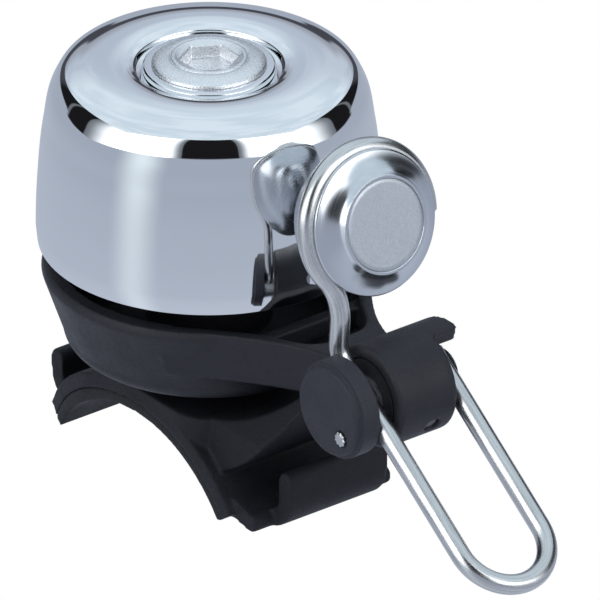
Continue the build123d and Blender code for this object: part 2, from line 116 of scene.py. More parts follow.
# The camera's distance and lens belong together: a long lens from far away
VIEW_AZIMUTH = math.radians(51.99)
VIEW_ELEVATION = math.radians(28.03)
VIEW_TARGET = Vector((7.76, 5.09, 10.99))
VIEW_DISTANCE = 2265.0
LENS = 1400.0

leg_dir = Vector((math.cos(LEG_DROP), 0, -math.sin(LEG_DROP)))
leg_up = Vector((math.sin(LEG_DROP), 0, math.cos(LEG_DROP)))
leg_base = PIVOT + leg_up * LEG_OFFSET
loop_dir = Vector((math.cos(LOOP_TILT), 0, math.sin(LOOP_TILT)))
loop_up = Vector((-math.sin(LOOP_TILT), 0, math.cos(LOOP_TILT)))
loop_centre = Vector((LOOP_X, 0, RIM_Z + LOOP_OVER_RIM))
y_dir = Vector((0, 1, 0))


# --- mesh helpers ---------------------------------------------------------------------------

def new_object(name, mesh, material=None):
    obj = bpy.data.objects.new(name, mesh)
    bpy.context.scene.collection.objects.link(obj)
    if material:
        obj.data.materials.append(material)
    return obj


def frame_matrix(origin, z_dir, x_dir):
    """Matrix of a local frame at origin, given in millimetres, for meshes made in millimetres."""
    z = z_dir.normalized()
    x = (x_dir - z * x_dir.dot(z)).normalized()
    y = z.cross(x)
    m = Matrix((x, y, z)).transposed().to_4x4()
    m.translation = origin * MM
    return m


def rings_mesh(name, rings, close_start, close_end, smooth=True):
    """Skin a list of closed rings of points, in millimetres, into a mesh in metres."""
    count = len(rings[0])
    verts = [p * MM for ring in rings for p in ring]
    faces = []
    for i in range(len(rings) - 1):
        a, b = i * count, (i + 1) * count
        for j in range(count):
            k = (j + 1) % count
            faces.append((a + j, a + k, b + k, b + j))
    for closed, start, flip in ((close_start, 0, True), (close_end, (len(rings) - 1) * count, False)):
        if closed:
            centre = sum((verts[start + j] for j in range(count)), Vector()) / count
            verts.append(centre)
            tip = len(verts) - 1
            for j in range(count):
                k = (j + 1) % count
                faces.append((start + k, start + j, tip) if flip else (start + j, start + k, tip))
    mesh = bpy.data.meshes.new(name)
    mesh.from_pydata([v[:] for v in verts], [], faces)
    bm = bmesh.new()
    bm.from_mesh(mesh)
    bmesh.ops.remove_doubles(bm, verts=bm.verts, dist=1e-8)
    bmesh.ops.recalc_face_normals(bm, faces=bm.faces)
    bm.to_mesh(mesh)
    bm.free()
    for polygon in mesh.polygons:
        polygon.use_smooth = smooth
    return mesh


def rounded(points, radius, steps=5):
    """Round the inner corners of an open (r, z) outline; radius is one number or one per corner."""
    out = [points[0]]
    for i in range(1, len(points) - 1):
        a, b, c = (Vector(points[i - 1]), Vector(points[i]), Vector(points[i + 1]))
        r = radius[i] if isinstance(radius, (list, tuple)) else radius
        u, v = (a - b).normalized(), (c - b).normalized()
        angle = math.pi - u.angle(v, 0)
        if r <= 0 or angle < math.radians(4):
            out.append(points[i])
            continue
        reach = min(r * math.tan(angle / 2), 0.45 * (a - b).length, 0.45 * (c - b).length)
        for s in range(steps + 1):
            t = s / steps
            p = b + u * reach * (1 - t) ** 2 + v * reach * t ** 2
            out.append((p.x, p.y))
    out.append(points[-1])
    return out


def refined(points, step):
    """Divide long runs of an outline, so that shading stays even."""
    out = [points[0]]
    for a, b in zip(points, points[1:]):
        n = max(1, int(math.dist(a, b) / step))
        for i in range(1, n + 1):
            t = i / n
            out.append((a[0] + (b[0] - a[0]) * t, a[1] + (b[1] - a[1]) * t))
    return out


def flowing(points, start, end, steps=10):
    """A smooth curve through (r, z) points with given end slopes."""
    pts = [Vector(p) for p in points]
    slopes = [Vector(start)]
    for i in range(1, len(pts) - 1):
        before, after = (pts[i] - pts[i - 1]).length, (pts[i + 1] - pts[i]).length
        a, b = (pts[i] - pts[i - 1]) / before, (pts[i + 1] - pts[i]) / after
        slopes.append((a * after + b * before) / (before + after))
    slopes.append(Vector(end))
    out = []
    for i in range(len(pts) - 1):
        length = (pts[i + 1] - pts[i]).length
        for s in range(steps):
            t = s / steps
            h = (2 * t ** 3 - 3 * t ** 2 + 1, t ** 3 - 2 * t ** 2 + t,
                 -2 * t ** 3 + 3 * t ** 2, t ** 3 - t ** 2)
            p = pts[i] * h[0] + slopes[i] * length * h[1] + pts[i + 1] * h[2] + slopes[i + 1] * length * h[3]
            out.append((p.x, p.y))
    out.append(tuple(pts[-1]))
    return out


def lathe(name, outline, material, matrix=None, segments=160, lobes=0, lobe_depth=0.0):
    """Turn an (r, z) outline about local +Z; lobes make a knurled outline."""
    rings = []
    for r, z in outline:
        ring = []
        for j in range(segments):
            a = 2 * math.pi * j / segments
            rr = max(r, 0.0)
            if lobes:
                rr *= 1 - lobe_depth * (0.5 - 0.5 * math.cos(lobes * a)) ** 0.7
            ring.append(Vector((rr * math.cos(a), rr * math.sin(a), z)))
        rings.append(ring)
    mesh = rings_mesh(name, rings, outline[0][0] > 1e-6 and outline[0] != outline[-1],
                      outline[-1][0] > 1e-6 and outline[0] != outline[-1])
    obj = new_object(name, mesh, material)
    if matrix:
        obj.matrix_world = matrix
    return obj


def arc_points(a, middle, b, steps):
    """Points on the arc from a over middle to b, without a itself."""
    u, v = middle - a, b - a
    w = u.cross(v)
    centre = a + (w.cross(u) * v.length_squared + v.cross(w) * u.length_squared) / (2 * w.length_squared)
    start = a - centre
    axis = w.normalized()
    side = axis.cross(start)
    end = b - centre
    angle = math.atan2(end.dot(side) / start.length, end.dot(start) / start.length)
    if angle <= 0:
        angle += 2 * math.pi
    return [centre + start * math.cos(angle * s / steps) + side * math.sin(angle * s / steps)
            for s in range(1, steps + 1)]


def tube(name, path, radius, sides, material, end_round=0.35):
    """A round bar along a path, in millimetres, with slightly rounded ends."""
    count = len(path)
    tangents = [(path[min(i + 1, count - 1)] - path[max(i - 1, 0)]).normalized() for i in range(count)]
    side = tangents[0].orthogonal().normalized()
    rings, along, length = [], [], 0.0
    for i in range(count):
        t = tangents[i]
        side = (side - t * side.dot(t)).normalized()
        other = t.cross(side)
        if i:
            length += (path[i] - path[i - 1]).length
        turns = [2 * math.pi * j / sides for j in range(sides)]
        ring = [path[i] + (side * math.cos(a) + other * math.sin(a)) * radius for a in turns]
        rings.append(ring)
        along.append(length)
    for end in (0, -1):
        outward = -tangents[0] if end == 0 else tangents[-1]
        middle = [path[end] + (p - path[end]) * 0.88 + outward * radius * 0.16 for p in rings[end]]
        tip = [path[end] + (p - path[end]) * (1 - end_round) + outward * radius * 0.22 for p in rings[end]]
        if end == 0:
            rings = [tip, middle] + rings
            along = [0, 0] + along
        else:
            rings = rings + [middle, tip]
            along = along + [length, length]
    mesh = rings_mesh(name, rings, True, True)
    layer = mesh.attributes.new("grain", "FLOAT_VECTOR", "POINT")
    values = []
    for i, ring in enumerate(rings):
        for j in range(sides):
            values.append((along[i], math.cos(2 * math.pi * j / sides), math.sin(2 * math.pi * j / sides)))
    values += [(0, 0, 0)] * (len(mesh.vertices) - len(values))
    layer.data.foreach_set("vector", [x for v in values for x in v])
    return new_object(name, mesh, material)


def softened(name, node, material, voxel, passes):
    """A copy of a moulded CAD part with its edges softened, as a mould leaves them."""
    source = frame["nodes"][node]
    mesh = source.data.copy()
    bm = bmesh.new()
    bm.from_mesh(mesh)
    bmesh.ops.remove_doubles(bm, verts=bm.verts, dist=1e-7)
    bm.to_mesh(mesh)
    bm.free()
    mesh.materials.clear()
    obj = new_object(name, mesh, material)
    remesh = obj.modifiers.new("remesh", "REMESH")
    remesh.mode = "VOXEL"
    remesh.voxel_size = voxel * MM
    remesh.use_smooth_shade = True
    smooth = obj.modifiers.new("smooth", "SMOOTH")
    smooth.factor = 0.5
    smooth.iterations = passes
    bpy.context.view_layer.update()
    evaluated = obj.evaluated_get(bpy.context.evaluated_depsgraph_get())
    final = bpy.data.meshes.new_from_object(evaluated)
    obj.modifiers.clear()
    obj.data = final
    for polygon in final.polygons:
        polygon.use_smooth = True
    if not final.materials:
        final.materials.append(material)
    return obj


# --- node helpers ---------------------------------------------------------------------------

class Num:
    """A number or vector in a node tree, with the arithmetic the materials need."""

    def __init__(self, tree, socket):
        self.tree = tree
        self.socket = socket

    def math(self, operation, *others):
        node = self.tree.nodes.new("ShaderNodeMath")
        node.operation = operation
        for i, value in enumerate((self,) + others):
            if isinstance(value, Num):
                self.tree.links.new(value.socket, node.inputs[i])
            else:
                node.inputs[i].default_value = value
        return Num(self.tree, node.outputs[0])

    def __add__(self, other):
        return self.math("ADD", other)

    def __sub__(self, other):
        return self.math("SUBTRACT", other)

    def __mul__(self, other):
        return self.math("MULTIPLY", other)

    def abs(self):
        return self.math("ABSOLUTE")

    def rise(self, low, high, start=0.0, end=1.0):
        """Smooth step from start at low to end at high; low may be above high."""
        node = self.tree.nodes.new("ShaderNodeMapRange")
        node.interpolation_type = "SMOOTHSTEP"
        self.tree.links.new(self.socket, node.inputs["Value"])
        if low > high:
            low, high, start, end = high, low, end, start
        node.inputs["From Min"].default_value = low
        node.inputs["From Max"].default_value = high
        node.inputs["To Min"].default_value = start
        node.inputs["To Max"].default_value = end
        return Num(self.tree, node.outputs["Result"])

    def line(self, low, high, start, end):
        """Straight ramp, held outside its two ends."""
        node = self.tree.nodes.new("ShaderNodeMapRange")
        self.tree.links.new(self.socket, node.inputs["Value"])
        node.inputs["From Min"].default_value = low
        node.inputs["From Max"].default_value = high
        node.inputs["To Min"].default_value = start
        node.inputs["To Max"].default_value = end
        return Num(self.tree, node.outputs["Result"])


def mixed(tree, factor, a, b):
    """Colour a where factor is 0 and b where it is 1."""
    node = tree.nodes.new("ShaderNodeMix")
    node.data_type = "RGBA"
    tree.links.new(factor.socket, node.inputs["Factor"])
    for name, value in (("A", a), ("B", b)):
        socket = [s for s in node.inputs if s.name == name and s.type == "RGBA"][0]
        if isinstance(value, Num):
            tree.links.new(value.socket, socket)
        else:
            socket.default_value = (*value, 1.0)
    return Num(tree, [s for s in node.outputs if s.type == "RGBA"][0])


def coordinates(tree, attribute=None, scale=(1, 1, 1)):
    """Position on the piece in millimetres, or a named attribute, scaled per axis."""
    mapping = tree.nodes.new("ShaderNodeMapping")
    if attribute:
        source = tree.nodes.new("ShaderNodeAttribute")
        source.attribute_name = attribute
        tree.links.new(source.outputs["Vector"], mapping.inputs["Vector"])
        mapping.inputs["Scale"].default_value = scale
    else:
        source = tree.nodes.new("ShaderNodeTexCoord")
        tree.links.new(source.outputs["Object"], mapping.inputs["Vector"])
        mapping.inputs["Scale"].default_value = [s / MM for s in scale]
    return mapping.outputs["Vector"]


def noise(tree, vector, scale, detail=3.0, roughness=0.5):
    node = tree.nodes.new("ShaderNodeTexNoise")
    tree.links.new(vector, node.inputs["Vector"])
    node.inputs["Scale"].default_value = scale
    node.inputs["Detail"].default_value = detail
    node.inputs["Roughness"].default_value = roughness
    return Num(tree, node.outputs["Fac"])


def turned_radius(tree):
    """Distance from the piece's own +Z axis, in millimetres."""
    split = tree.nodes.new("ShaderNodeSeparateXYZ")
    tree.links.new(coordinates(tree), split.inputs[0])
    x, y = Num(tree, split.outputs[0]), Num(tree, split.outputs[1])
    return (x * x + y * y).math("SQRT")


def as_vector(tree, x, y=0.0, z=0.0):
    node = tree.nodes.new("ShaderNodeCombineXYZ")
    for i, value in enumerate((x, y, z)):
        if isinstance(value, Num):
            tree.links.new(value.socket, node.inputs[i])
        else:
            node.inputs[i].default_value = value
    return node.outputs[0]


def material(name, base, roughness, metallic=0.0, specular=0.5):
    """A Principled material; returns it with its tree and shader for more detail."""
    mat = bpy.data.materials.new(name)
    mat.use_nodes = True
    tree = mat.node_tree
    shader = tree.nodes["Principled BSDF"]
    shader.inputs["Base Color"].default_value = (*base, 1.0)
    shader.inputs["Roughness"].default_value = roughness
    shader.inputs["Metallic"].default_value = metallic
    shader.inputs["Specular IOR Level"].default_value = specular
    return mat, tree, shader


def feed(tree, value, shader, name):
    tree.links.new(value.socket, shader.inputs[name])


def bump(tree, shader, height, distance, strength=1.0):
    """Surface relief; distance is in millimetres."""
    node = tree.nodes.new("ShaderNodeBump")
    node.inputs["Strength"].default_value = strength
    node.inputs["Distance"].default_value = distance * MM
    tree.links.new(height.socket, node.inputs["Height"])
    tree.links.new(node.outputs["Normal"], shader.inputs["Normal"])


# --- materials ------------------------------------------------------------------------------

def chrome(name, base=(0.93, 0.94, 0.95), gloss=0.02, haze=0.035):
    """Mirror plating with a faint cloudy haze."""
    mat, tree, shader = material(name, base, gloss, metallic=1.0)
    cloud = noise(tree, coordinates(tree), 0.16, 3.0)
    fine = noise(tree, coordinates(tree), 2.2, 4.0, 0.6)
    roughness = cloud.line(0.35, 0.75, gloss, gloss + haze) + fine.line(0.3, 0.8, 0.0, 0.012)
    feed(tree, roughness, shader, "Roughness")
    feed(tree, mixed(tree, cloud, tuple(c * 0.97 for c in base), base), shader, "Base Color")
    return mat


def turned_steel(name, base, rough, line_scale, depth):
    """Lathe-turned steel: fine circular lines about the piece's own axis."""
    mat, tree, shader = material(name, base, rough, metallic=1.0)
    radius = turned_radius(tree)
    split = tree.nodes.new("ShaderNodeSeparateXYZ")
    tree.links.new(coordinates(tree), split.inputs[0])
    along = Num(tree, split.outputs[2])
    lines = noise(tree, as_vector(tree, radius * line_scale, along * line_scale), 1.0, 4.0, 0.65)
    cloud = noise(tree, coordinates(tree), 0.5, 3.0)
    feed(tree, lines.line(0.3, 0.7, rough * 0.75, rough * 1.3), shader, "Roughness")
    feed(tree, mixed(tree, cloud, tuple(c * 0.93 for c in base), base), shader, "Base Color")
    bump(tree, shader, lines, depth)
    return mat


def sand_steel(name):
    """Bright steel with a sand-grained skin, as on the screw's head."""
    base = (0.90, 0.91, 0.92)
    mat, tree, shader = material(name, base, 0.3, metallic=1.0)
    grain = noise(tree, coordinates(tree), 5.0, 3.0, 0.7)
    pits = noise(tree, coordinates(tree), 11.0, 2.0, 0.5)
    feed(tree, grain.line(0.3, 0.7, 0.22, 0.42), shader, "Roughness")
    feed(tree, mixed(tree, pits.rise(0.3, 0.62), (0.76, 0.77, 0.79), (0.99, 0.99, 1.0)), shader, "Base Color")
    bump(tree, shader, grain + pits * 0.5, 0.05, 0.8)
    return mat


def drawn_wire(name):
    """Polished drawn wire: long fine streaks and a few tool marks."""
    base = (0.80, 0.79, 0.77)
    mat, tree, shader = material(name, base, 0.16, metallic=1.0)
    streak = noise(tree, coordinates(tree, attribute="grain", scale=(0.10, 2.6, 2.6)), 2.4, 4.0, 0.6)
    short = noise(tree, coordinates(tree, attribute="grain", scale=(1.6, 1.0, 1.0)), 2.0, 3.0, 0.6)
    feed(tree, streak.line(0.3, 0.7, 0.18, 0.34), shader, "Roughness")
    colour = mixed(tree, streak.rise(0.3, 0.65), (0.58, 0.58, 0.58), (0.76, 0.76, 0.75))
    feed(tree, colour, shader, "Base Color")
    bump(tree, shader, streak + short * 0.4, 0.012)
    return mat


def brushed(name):
    """Flat disc brushed in one direction with short fine strokes."""
    mat, tree, shader = material(name, (0.55, 0.56, 0.58), 0.42, metallic=1.0)
    strokes = noise(tree, coordinates(tree, scale=(1.0, 0.45, 1.0)), 14.0, 4.0, 0.7)
    cloud = noise(tree, coordinates(tree), 1.2, 3.0)
    colour = mixed(tree, strokes.rise(0.3, 0.7), (0.52, 0.54, 0.57), (0.70, 0.72, 0.75))
    feed(tree, colour, shader, "Base Color")
    feed(tree, strokes.line(0.3, 0.7, 0.34, 0.5) + cloud.line(0.3, 0.7, -0.03, 0.03), shader, "Roughness")
    bump(tree, shader, strokes, 0.03, 0.7)
    return mat


def moulded(name, base, rough, grain_scale, depth, sheen=0.35):
    """Glass-filled black moulding: a fine leathery grain with small glints."""
    mat, tree, shader = material(name, base, rough, specular=sheen)
    grain = noise(tree, coordinates(tree), grain_scale, 3.0, 0.6)
    fibre = noise(tree, coordinates(tree), grain_scale * 3.1, 2.0, 0.5)
    cloud = noise(tree, coordinates(tree), 0.35, 3.0)
    lighter = tuple(c * 1.7 for c in base)
    feed(tree, mixed(tree, fibre.rise(0.45, 0.75), base, lighter), shader, "Base Color")
    feed(tree, cloud.line(0.3, 0.7, rough - 0.06, rough + 0.06) + grain.line(0.3, 0.7, -0.08, 0.08), shader,
         "Roughness")
    bump(tree, shader, grain + fibre * 0.35, depth, 0.7)
    return mat


def plated(name, base, rough, metallic=1.0):
    """Plain metal, or nylon, for small and hidden parts, with a soft mottle."""
    mat, tree, shader = material(name, base, rough, metallic=metallic)
    mottle = noise(tree, coordinates(tree), 1.4, 4.0, 0.6)
    feed(tree, mixed(tree, mottle, tuple(c * 0.82 for c in base), base), shader, "Base Color")
    feed(tree, mottle.line(0.3, 0.7, rough * 0.8, rough * 1.25), shader, "Roughness")
    bump(tree, shader, noise(tree, coordinates(tree), 6.0, 3.0), 0.006)
    return mat


CHROME = chrome("chrome_plate")
WASHER = chrome("washer_steel", (0.88, 0.89, 0.91), 0.06, 0.05)
HAMMER = turned_steel("hammer_steel", (0.58, 0.60, 0.64), 0.27, 5.0, 0.0008)
CAP = turned_steel("cap_steel", (0.74, 0.76, 0.79), 0.20, 5.0, 0.002)
FACE = brushed("brushed_face")
SCREW = sand_steel("sand_steel")
WIRE = drawn_wire("drawn_wire")
BLACK = moulded("black_moulding", (0.018, 0.018, 0.023), 0.48, 4.6, 0.09)
# The saddle is the same black moulding as the body, given a darker base and less sheen: painted shade for the
# shaded hollow under the dish.
SADDLE_PAINTED_SHADE = moulded("black_saddle_painted_shade", (0.016, 0.016, 0.020), 0.55, 4.6, 0.09, 0.2)
KNOB = moulded("black_knob", (0.028, 0.028, 0.036), 0.52, 5.2, 0.10)
LINER = moulded("liner_rubber", (0.022, 0.022, 0.024), 0.72, 2.2, 0.02, 0.25)
PIN = plated("pin_steel", (0.72, 0.72, 0.71), 0.30)
DARK_PIN = plated("dark_pin_steel", (0.20, 0.20, 0.21), 0.42)
ZINC = plated("zinc_steel", (0.62, 0.63, 0.64), 0.34)
SPRING = plated("spring_steel", (0.30, 0.30, 0.31), 0.30)
NYLON = plated("gasket_nylon", (0.72, 0.70, 0.65), 0.45, metallic=0.0)


# --- the dome and its screw -----------------------------------------------------------------

def dome_outer():
    """Outer skin from the rim up over the shoulder to the recess's floor."""
    wall = [(DOME_R, 1.5), (DOME_R - 0.2, 7.0), (DOME_R - 0.74, 12.4), (DOME_R - 1.64, 16.5),
            (DOME_R - 2.58, 18.0), (DOME_R - 4.46, 18.7), (DOME_R - 7.46, DOME_H)]
    skin = flowing(wall, (0, 1), (-1, 0), 14)
    lip = [(9.0, DOME_H - 0.015), (8.6, DOME_H - 0.05), (8.2, DOME_H - 0.11), (7.8, DOME_H - 0.20),
           (RECESS_R + 0.12, DOME_H - 0.36),
           (RECESS_R, DOME_H - RECESS_DEPTH + 0.08), (RECESS_R - 0.12, DOME_H - RECESS_DEPTH)]
    foot = [(DOME_R - 0.35, 0.0), (DOME_R - 0.15, 0.0)]
    return rounded(foot + skin[:1], 0.1)[:-1] + skin + rounded(lip, 0.25)


def bell_dome():
    outer = dome_outer()
    inner_floor = DOME_H - RECESS_DEPTH - DOME_T
    inner = [(SCREW_R + 0.2, DOME_H - RECESS_DEPTH), (SCREW_R + 0.2, inner_floor),
             (RECESS_R - 0.6, inner_floor), (RECESS_R - 0.2, DOME_H - DOME_T - 0.1), (12.1, 17.6),
             (DOME_R - 3.4, 17.1), (DOME_R - 2.7, 15.9), (DOME_R - 1.85, 12.2),
             (DOME_R - DOME_T - 0.2, 6.8), (DOME_R - DOME_T, 1.2), (DOME_R - DOME_T - 0.05, 0.15),
             (DOME_R - DOME_T + 0.1, 0.0)]
    outline = refined(outer, 0.5) + refined(rounded(inner, 0.6), 0.8)
    outline.append(outline[0])
    matrix = frame_matrix(Vector((0, 0, RIM_Z)), Vector((0, 0, 1)), Vector((1, 0, 0)))
    dome = lathe("bell_dome_shell", outline, CHROME, matrix, segments=224)
    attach(dome, "root")
    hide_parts("bell_dome")


def dome_washer():
    base = DOME_H - RECESS_DEPTH
    outline = [(SCREW_R + 0.1, base), (WASHER_R, base), (WASHER_R, base + WASHER_T - 0.16),
               (WASHER_R - 0.16, base + WASHER_T), (SCREW_R + 0.1, base + WASHER_T)]
    outline = refined(rounded(outline, 0.12), 0.5)
    outline.append(outline[0])
    matrix = frame_matrix(Vector((0, 0, RIM_Z)), Vector((0, 0, 1)), Vector((1, 0, 0)))
    washer = lathe("dome_washer_ring", outline, WASHER, matrix)
    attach(washer, "root")
    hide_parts("dome_washer")


def dome_screw():
    """Button head with a rolled lip round a hexagon socket, and its shank."""
    head = DOME_H - RECESS_DEPTH + WASHER_T
    crown = head + HEAD_H
    socket_r = 2.5 / math.cos(math.radians(30))
    # radius, height, share of hexagon
    stations = [(SCREW_R - 0.5, head - 31.5, 0), (SCREW_R, head - 31.0, 0), (SCREW_R, head - 0.02, 0),
                (SCREW_R, head, 0), (HEAD_R - 0.1, head, 0), (HEAD_R - 0.02, head + 0.05, 0),
                (HEAD_R, head + 0.12, 0), (HEAD_R - 0.01, head + 0.20, 0)]
    for i in range(1, 13):
        t = i / 12
        r = HEAD_R - 0.01 - (HEAD_R - 3.85) * t ** 1.4
        z = head + 0.20 + (HEAD_H - 0.32) * math.sin(t * math.pi / 2) ** 0.95
        stations.append((r, z, 0))
    floor_z = crown - 1.5
    stations += [(3.80, crown - 0.22, 0), (3.72, crown - 0.12, 0), (3.62, crown - 0.02, 0), (3.50, crown, 0),
                 (3.38, crown - 0.01, 0), (3.26, crown - 0.07, 0), (3.16, crown - 0.16, 0.1),
                 (3.05, crown - 0.24, 0.6), (socket_r + 0.02, crown - 0.32, 1), (socket_r, crown - 0.45, 1),
                 (socket_r, crown - 0.9, 1), (socket_r - 0.02, floor_z + 0.06, 1),
                 (socket_r - 0.1, floor_z, 1), (2.42, floor_z, 0.3), (2.3, floor_z + 0.02, 0),
                 (2.1, floor_z - 0.03, 0), (1.2, floor_z - 0.15, 0), (0.5, floor_z - 0.22, 0)]
    count = 144
    rings = []
    for r, z, hexness in stations:
        ring = []
        for j in range(count):
            a = 2 * math.pi * j / count
            fold = (a % (math.pi / 3)) - math.pi / 6
            flat = math.cos(math.pi / 6) / math.cos(fold)
            rr = r * (1 - hexness + hexness * flat)
            ring.append(Vector((rr * math.cos(a), rr * math.sin(a), z)))
        rings.append(ring)
    screw = new_object("dome_screw_head", rings_mesh("dome_screw_head", rings, True, True), SCREW)
    screw.matrix_world = frame_matrix(Vector((0, 0, RIM_Z)), Vector((0, 0, 1)), Vector((1, 0, 0)))
    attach(screw, "root")
    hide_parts("dome_screw")


# --- the moulded parts ----------------------------------------------------------------------

def mouldings():
    for name, node, mat, slot, body, voxel, passes in (
        ("body_moulding", "bell_body", BLACK, "black_moulding", "root", 0.2, 4),
        # the saddle takes the darker copy of the black moulding, painted shade
        ("saddle_moulding", "saddle_base", SADDLE_PAINTED_SHADE, "black_moulding", "root", 0.2, 5),
        ("saddle_liner", "saddle_pad", LINER, "liner_rubber", "root", 0.25, 2),
        ("knob_moulding", "pivot_knob", KNOB, "black_knob", "lever", 0.12, 3),
    ):
        piece = softened(name, node, mat, voxel, passes)
        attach(piece, body)
        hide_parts(node)


# --- the lever ------------------------------------------------------------------------------

def loop_point(degrees, radius=LOOP_R):
    a = math.radians(degrees)
    return loop_centre + y_dir * (radius * math.sin(a)) + loop_up * (radius * math.cos(a))


def corner(at, back, ahead, radius):
    """Start, middle and end of the arc that rounds a corner between two directions."""
    half = back.angle(ahead) / 2
    reach = radius * math.tan(half)
    bisector = (ahead - back).normalized()
    centre = at + bisector * (radius / math.cos(half))
    return at - back * reach, centre - bisector * radius, at + ahead * reach


def wire_points():
    """From the ring's free end, over the top, down, round the finger loop and back."""
    shift = LOOP_R - LEG_Y
    turn = math.degrees(math.acos(1 - shift / (LOOP_R + NECK_R)))
    leave = -90.0 - turn
    near = y_dir * -LEG_Y
    neck_centre = loop_point(leave, LOOP_R + NECK_R)
    neck_end = neck_centre + y_dir * NECK_R
    half_way = math.radians(turn / 2)
    neck_middle = (neck_centre + y_dir * (NECK_R * math.cos(half_way))
                   + loop_up * (NECK_R * math.sin(half_way)))
    down = -loop_up
    knee = neck_end + down * 0.9
    elbow = leg_base + near - leg_dir * ELBOW_BACK
    shin = (elbow - knee).normalized()
    knee_in, knee_middle, knee_out = corner(knee, down, shin, KNEE_R)
    bend_in, bend_middle, bend_out = corner(elbow, shin, leg_dir, ELBOW_R)
    near_turn = leg_base + near + leg_dir * LEG_LENGTH
    far_turn = leg_base - near + leg_dir * LEG_LENGTH
    tip = leg_base + leg_dir * (LEG_LENGTH + LEG_Y)
    far_end = leg_base - near - leg_dir * TAIL
    points = [loop_point(RING_END)]
    points += arc_points(points[-1], loop_point((RING_END + leave) / 2), loop_point(leave), 72)
    points += arc_points(points[-1], neck_middle, neck_end, 16)
    for start, middle, end, steps in ((knee_in, knee_middle, knee_out, 12),
                                      (bend_in, bend_middle, bend_out, 12)):
        points += straight(points[-1], start)
        points += arc_points(points[-1], middle, end, steps)
    points += straight(points[-1], near_turn)
    points += arc_points(points[-1], tip, far_turn, 48)
    points += straight(points[-1], far_end)
    return points


def straight(a, b, step=0.6):
    n = max(1, int((b - a).length / step))
    return [a + (b - a) * ((i + 1) / n) for i in range(n)]


def wire_lever():
    wire = tube("lever_wire", wire_points(), WIRE_R, 28, WIRE)
    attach(wire, "lever")
    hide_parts("wire_lever")


def striker():
    place = frame_matrix(loop_centre, loop_dir, y_dir)
    groove_r = LOOP_R - WIRE_R - 0.02

    flank = flowing([(FLANGE_R - 0.08, GROOVE_HALF + 0.40), (5.95, GROOVE_HALF + 0.92),
                     (4.98, CAP_FRONT - 0.22)], (-0.97, 0.22), (-0.42, 0.9), 12)
    cap = [(groove_r - 0.4, GROOVE_HALF), (FLANGE_R - 0.1, GROOVE_HALF), (FLANGE_R, GROOVE_HALF + 0.1),
           (FLANGE_R, GROOVE_HALF + 0.3)] + flank
    cap += rounded([(4.93, CAP_FRONT - 0.10), (4.86, CAP_FRONT), (FACE_R + 0.06, CAP_FRONT),
                    (FACE_R + 0.02, CAP_FRONT - 0.05), (FACE_R, CAP_FRONT - 0.3)], 0.04)
    cap = refined(cap, 0.4)
    piece = lathe("striker_cap_shell", cap, CAP, place, segments=176)
    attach(piece, "lever")
    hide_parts("striker_cap")

    face = [(0.0, CAP_FRONT - 0.06), (FACE_R - 0.1, CAP_FRONT - 0.06), (FACE_R - 0.01, CAP_FRONT - 0.13),
            (FACE_R - 0.01, CAP_FRONT - 0.5)]
    face = refined(face, 0.35)
    piece = lathe("striker_face_disc", face, FACE, place, segments=128)
    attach(piece, "lever")
    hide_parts("striker_face")

    edge_r = FLANGE_R - 0.1
    edge_z = -GROOVE_HALF - 0.5
    centre_z = (HAMMER_BACK ** 2 - edge_r ** 2 - edge_z ** 2) / (2 * (HAMMER_BACK - edge_z))
    nose_r = centre_z - HAMMER_BACK
    span = math.asin(edge_r / nose_r)
    nose = [(nose_r * math.sin(span * i / 30), centre_z - nose_r * math.cos(span * i / 30))
            for i in range(31)]
    hammer = nose[:-1] + rounded([nose[-1], (edge_r + 0.02, -GROOVE_HALF - 0.2), (edge_r - 0.1, -GROOVE_HALF),
                                  (groove_r, -GROOVE_HALF), (groove_r, GROOVE_HALF), (2.0, GROOVE_HALF)], 0.1)
    hammer = refined(hammer, 0.5)
    piece = lathe("striker_hammer_nose", hammer, HAMMER, place, segments=176)
    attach(piece, "lever")
    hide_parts("striker_hammer")


def knurled_pin(name, node, place, radius, top, bottom, body, mat=PIN):
    outline = [(0.0, top - 0.06), (radius * 0.35, top - 0.04), (radius * 0.78, top), (radius, top - 0.1),
               (radius, bottom)]
    outline = refined(rounded(outline, 0.05), 0.25)
    piece = lathe(name, outline, mat, place, segments=120, lobes=9, lobe_depth=0.16)
    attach(piece, body)
    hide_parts(node)


def pins():
    spot = leg_base + leg_dir * PIN_ALONG - leg_up * PIN_DROP
    place = frame_matrix(Vector((spot.x, KNOB_NEAR, spot.z)), -y_dir, Vector((1, 0, 0)))
    knurled_pin("knob_pin", "wire_pin", place, PIN_R - 0.01, 0.24, -4.4, "lever")
    out = Vector((math.cos(ANCHOR_ANGLE), 0, math.sin(ANCHOR_ANGLE)))
    place = frame_matrix(Vector((PIVOT.x, ANCHOR_Y, PIVOT.z)) + out * BARREL_R, out, y_dir)
    knurled_pin("anchor_pin", "spring_anchor_pin", place, ANCHOR_R - 0.02, -0.35, -1.5, "root", DARK_PIN)


def carried_over():
    for node, mat in (("dome_gasket", NYLON), ("post_spacer", ZINC), ("nut_washer", ZINC),
                      ("clamp_nut", ZINC),
                      ("axle_bush", BLACK), ("torsion_spring", SPRING), ("pivot_axle", ZINC),
                      ("striker_stud", PIN)):
        obj = frame["nodes"][node]
        obj.data.materials.clear()
        obj.data.materials.append(mat)


# --- studio ---------------------------------------------------------------------------------

def camera():
    back = Vector((math.sin(VIEW_AZIMUTH) * math.cos(VIEW_ELEVATION),
                   -math.cos(VIEW_AZIMUTH) * math.cos(VIEW_ELEVATION), math.sin(VIEW_ELEVATION)))
    data = bpy.data.cameras.new("camera")
    data.lens = LENS
    data.sensor_width = 36.0
    data.clip_start = 0.01
    data.clip_end = 20.0
    obj = bpy.data.objects.new("camera", data)
    bpy.context.scene.collection.objects.link(obj)
    obj.location = (VIEW_TARGET + back * VIEW_DISTANCE) * MM
    obj.rotation_mode = "QUATERNION"
    obj.rotation_quaternion = (-back).to_track_quat("-Z", "Y")
    bpy.context.scene.camera = obj


